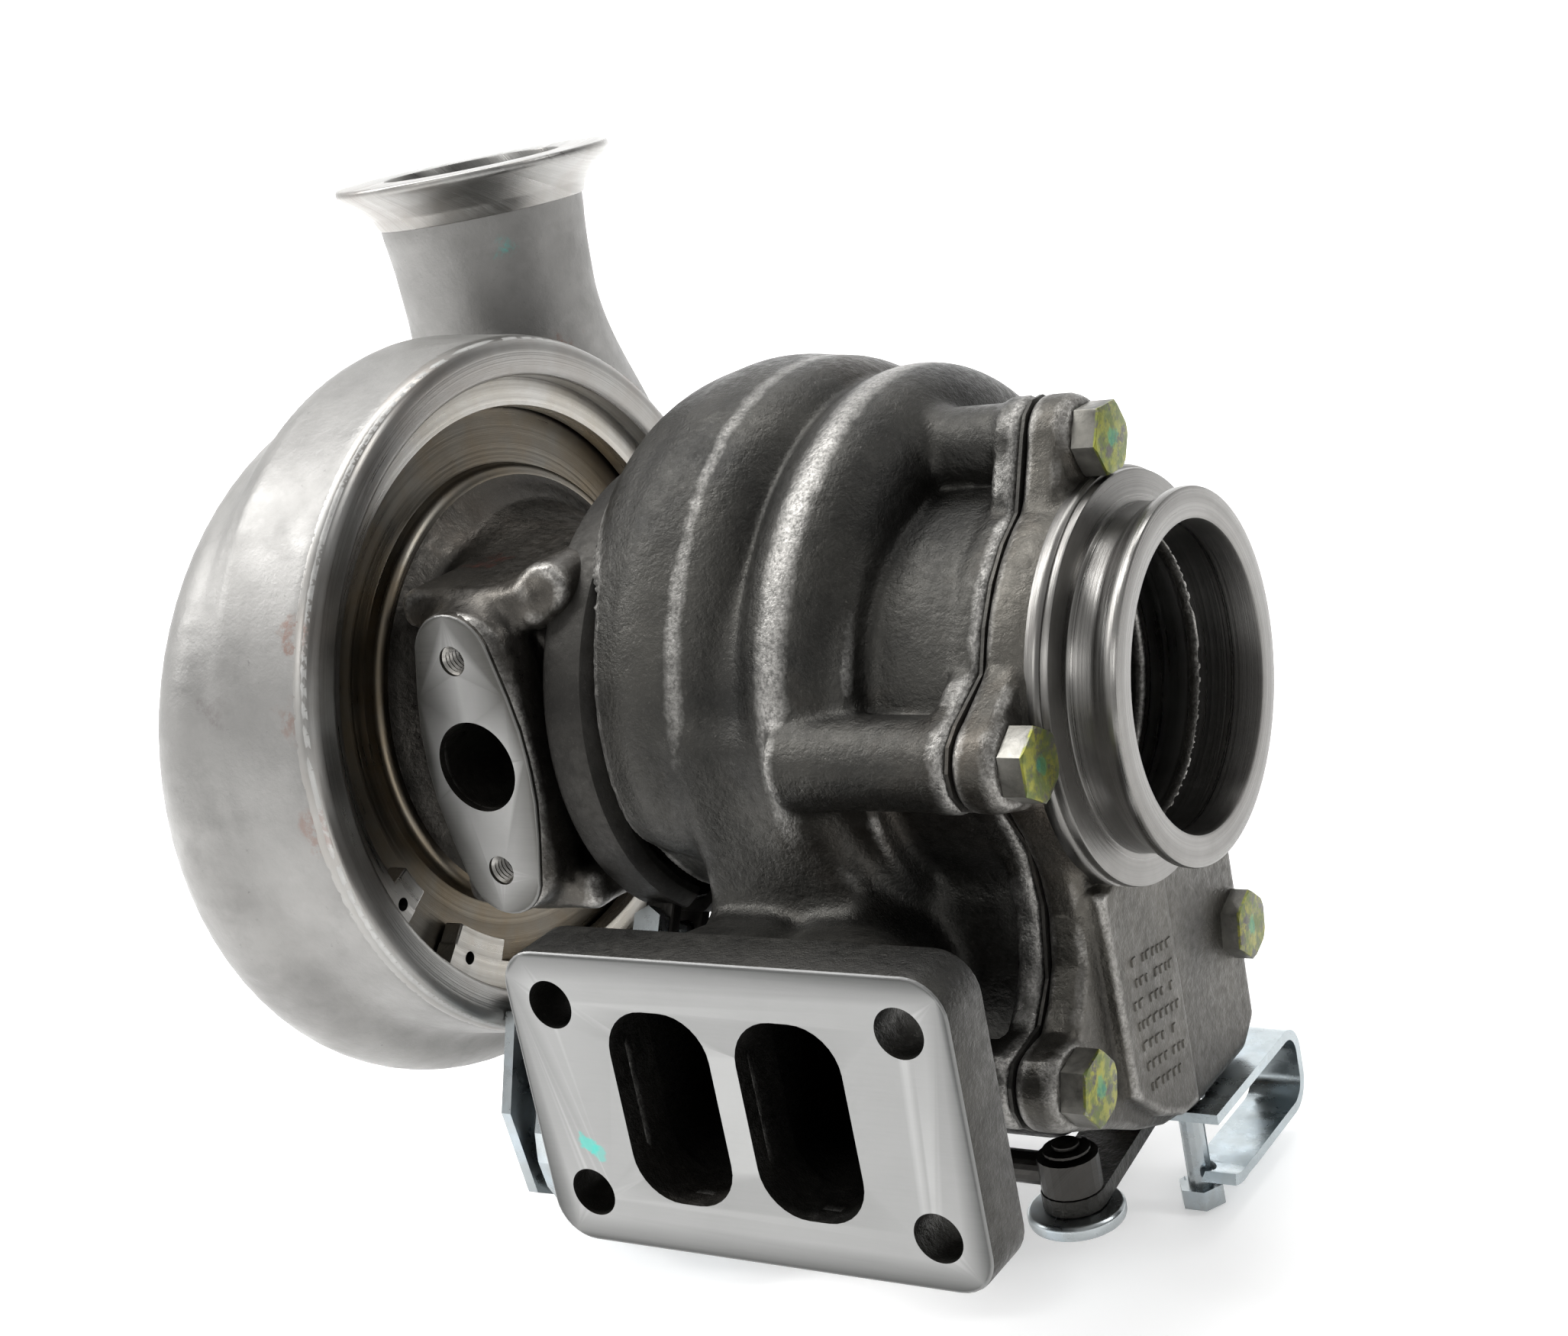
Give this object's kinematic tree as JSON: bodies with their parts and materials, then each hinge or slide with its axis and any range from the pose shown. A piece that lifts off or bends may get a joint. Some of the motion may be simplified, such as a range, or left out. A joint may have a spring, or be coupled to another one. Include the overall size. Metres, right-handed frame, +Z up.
{
  "type": "turbocharger",
  "caption": "Exhaust-driven turbocharger: volute compressor, oil-fed bearing housing, twin-scroll turbine with divided inlet flange, bolted outlet cover and a wastegate with its boost capsule.",
  "frame": {"origin": "centre of the exhaust inlet flange's face, on the web between its two ports", "axes": "+X along the shaft from the compressor to the exhaust outlet, -Y out of the inlet flange, +Z up, along the compressor outlet"},
  "size_m": [0.2737, 0.2386, 0.268],
  "materials": {
    "cast_iron": "sand-cast, with machined flange faces",
    "cast_aluminium": "satin cast, with turned faces",
    "machined_steel": "turned",
    "zinc_plate": "bright zinc plate",
    "bronze": "turned",
    "rubber": "moulded"
  },
  "bodies": {
    "housing": {"actuator_bracket": "zinc_plate", "actuator_bracket_bolt_1": "zinc_plate", "actuator_bracket_bolt_2": "zinc_plate", "actuator_diaphragm": "rubber", "actuator_front_can": "zinc_plate", "actuator_rear_can": "zinc_plate", "actuator_spring": "machined_steel", "actuator_stud_1": "zinc_plate", "actuator_stud_2": "zinc_plate", "backplate_o_ring": "rubber", "bearing_housing": "cast_iron", "boost_hose_barb": "zinc_plate", "compressor_backplate": "cast_aluminium", "compressor_bearing_inner_circlip": "machined_steel", "compressor_bearing_outer_circlip": "machined_steel", "compressor_housing": "cast_aluminium", "heat_shield": "machined_steel", "housing_retaining_ring": "machined_steel", "oil_baffle": "machined_steel", "oil_inlet_gasket": "machined_steel", "outlet_cover": "cast_iron", "outlet_cover_bolt_1": "machined_steel", "outlet_cover_bolt_2": "machined_steel", "outlet_cover_bolt_3": "machined_steel", "outlet_cover_bolt_4": "machined_steel", "outlet_gasket": "machined_steel", "seal_ring_compressor_side": "machined_steel", "seal_ring_turbine_side": "machined_steel", "support_bracket": "zinc_plate", "support_bracket_bolt": "zinc_plate", "thrust_bearing": "bronze", "thrust_bearing_screw_1": "machined_steel", "thrust_bearing_screw_2": "machined_steel", "thrust_bearing_screw_3": "machined_steel", "turbine_bearing_inner_circlip": "machined_steel", "turbine_housing": "cast_iron", "v_band_bolt": "zinc_plate", "v_band_clamp": "machined_steel", "v_band_nut": "zinc_plate", "wastegate_bush": "bronze"},
    "rotor": {"turbine_wheel_and_shaft": "machined_steel", "compressor_wheel": "cast_aluminium", "shaft_nut": "machined_steel", "thrust_collar": "machined_steel", "oil_slinger": "machined_steel"},
    "floating_bearing_compressor_side": {"journal_bearing_compressor_side": "bronze"},
    "floating_bearing_turbine_side": {"journal_bearing_turbine_side": "bronze"},
    "wastegate": {"wastegate_spindle_and_valve": "machined_steel", "wastegate_lever": "cast_iron", "lever_pin": "zinc_plate", "lever_pin_clip": "zinc_plate"},
    "push_rod": {"rod_end": "zinc_plate", "rod_lock_nut": "zinc_plate", "actuator_rod": "zinc_plate"},
    "piston": {"actuator_piston": "machined_steel"}
  },
  "joints": [
    {"name": "rotor_spin", "type": "hinge", "parent": "housing", "child": "rotor", "pos_m": [-0.1, 0.1184, 0.0527], "axis": [1, 0, 0], "continuous": true},
    {"name": "bearing_spin_compressor_side", "type": "hinge", "parent": "housing", "child": "floating_bearing_compressor_side", "pos_m": [-0.122, 0.1184, 0.0527], "axis": [1, 0, 0], "continuous": true},
    {"name": "bearing_spin_turbine_side", "type": "hinge", "parent": "housing", "child": "floating_bearing_turbine_side", "pos_m": [-0.082, 0.1184, 0.0527], "axis": [1, 0, 0], "continuous": true},
    {"name": "wastegate_swing", "type": "hinge", "parent": "housing", "child": "wastegate", "pos_m": [0.02, 0.13, -0.03], "axis": [0, 0, 1], "range_deg": [0, 16], "stiffness_Nm_per_rad": 2, "springref_deg": -11.46},
    {"name": "rod_pivot", "type": "hinge", "parent": "wastegate", "child": "push_rod", "pos_m": [0.025, 0.084, -0.055], "axis": [0, 0, 1], "range_deg": [-16.5, 0.5]},
    {"name": "piston_slide", "type": "slide", "parent": "housing", "child": "piston", "axis": [1, 0, 0], "range_m": [0, 0.0127]}
  ],
  "couplings": [
    {"joint": "bearing_spin_compressor_side", "follows": "rotor_spin", "ratio": 0.3},
    {"joint": "bearing_spin_turbine_side", "follows": "rotor_spin", "ratio": 0.3},
    {"joint": "rod_pivot", "follows": "wastegate_swing", "ratio": -1},
    {"joint": "piston_slide", "follows": "wastegate_swing", "m_per_rad": 0.0447}
  ]
}
